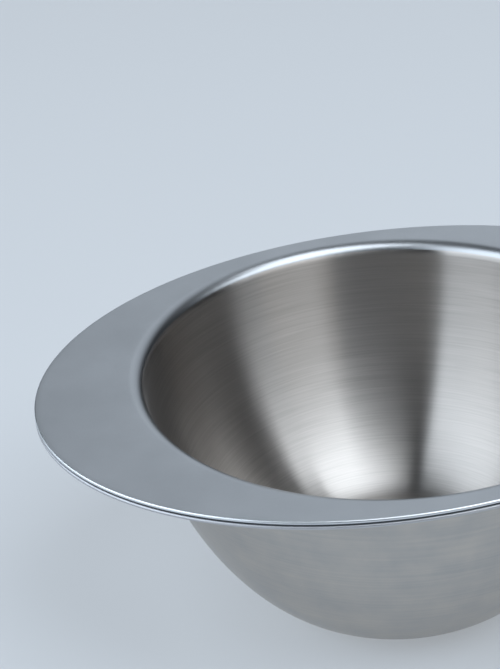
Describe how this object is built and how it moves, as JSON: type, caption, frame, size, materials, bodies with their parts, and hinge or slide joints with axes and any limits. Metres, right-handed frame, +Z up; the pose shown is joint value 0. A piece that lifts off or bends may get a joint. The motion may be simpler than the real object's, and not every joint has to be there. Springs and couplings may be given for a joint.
{
  "type": "baby bowl",
  "caption": "Double-walled steel baby bowl: a deep round basin for food in a wide flat oval brim that serves as grips, standing on a small foot ring.",
  "frame": {"origin": "centre of the foot ring, on the surface that the bowl stands on", "axes": "+X along the brim's longest extent, +Z up along the axis of the round basin"},
  "size_m": [0.16, 0.125, 0.0576],
  "materials": {
    "inner_steel": "satin brim, fine brush lines running round the inside of the basin, polished edge",
    "outer_steel": "satin outer wall, polished edge",
    "weld_steel": "dull weld seam"
  },
  "bodies": {
    "root": {"inner_bowl": "inner_steel", "outer_shell": "outer_steel", "rim_weld": "weld_steel"}
  },
  "joints": []
}
